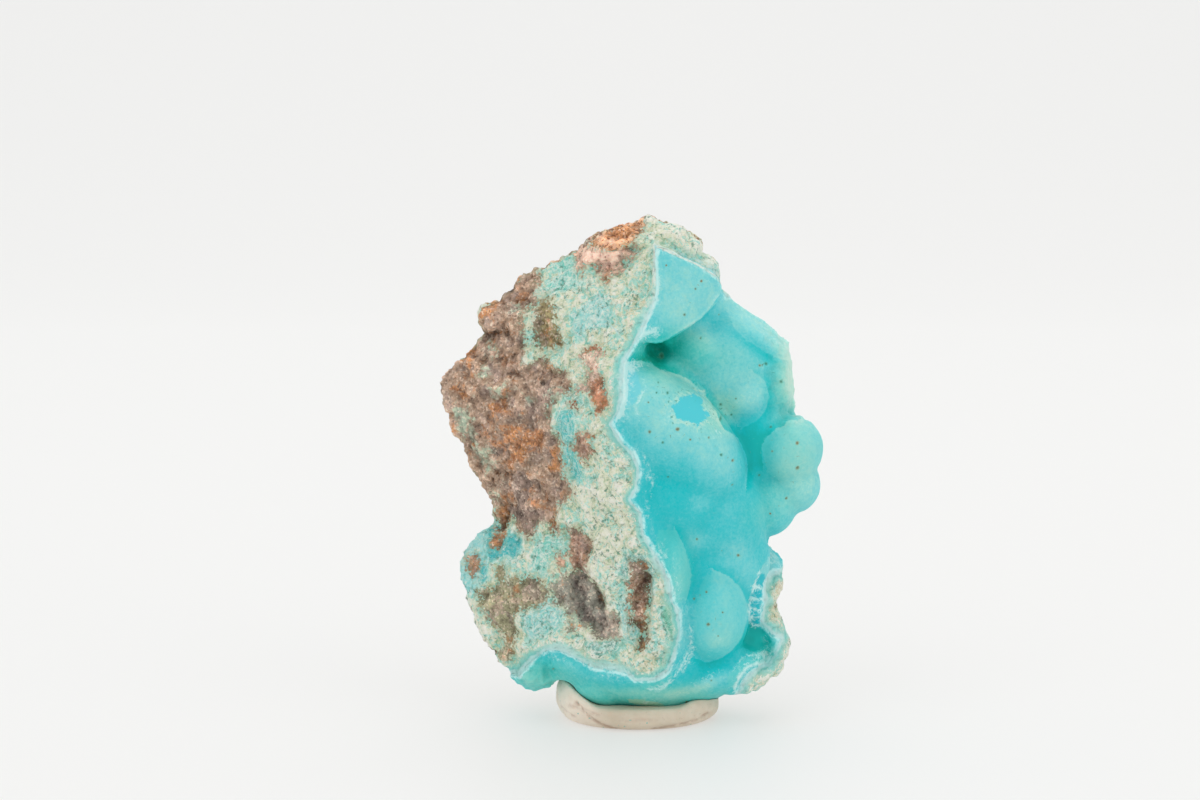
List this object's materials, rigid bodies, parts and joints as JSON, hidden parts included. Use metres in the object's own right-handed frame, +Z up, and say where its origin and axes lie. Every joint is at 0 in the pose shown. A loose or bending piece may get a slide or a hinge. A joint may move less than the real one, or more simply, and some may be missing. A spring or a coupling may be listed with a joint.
{
  "type": "hemimorphite specimen",
  "caption": "Hand specimen of blue botryoidal hemimorphite crust on brown and cream matrix, standing upright on a pressed lump of white putty.",
  "frame": {"origin": "centre of the flat underside of the putty lump that the specimen stands on", "axes": "+Z up, -Y towards the broken matrix face and the blue domes, +X to the right of someone looking at that side"},
  "size_m": [0.0582, 0.0322, 0.0769],
  "materials": {
    "hemimorphite": "waxy, slightly translucent blue crust with matt brown and cream broken rock",
    "putty": "matt off-white modelling putty with faint creases"
  },
  "bodies": {
    "root": {"hemimorphite": "hemimorphite", "putty_base": "putty"}
  },
  "joints": []
}
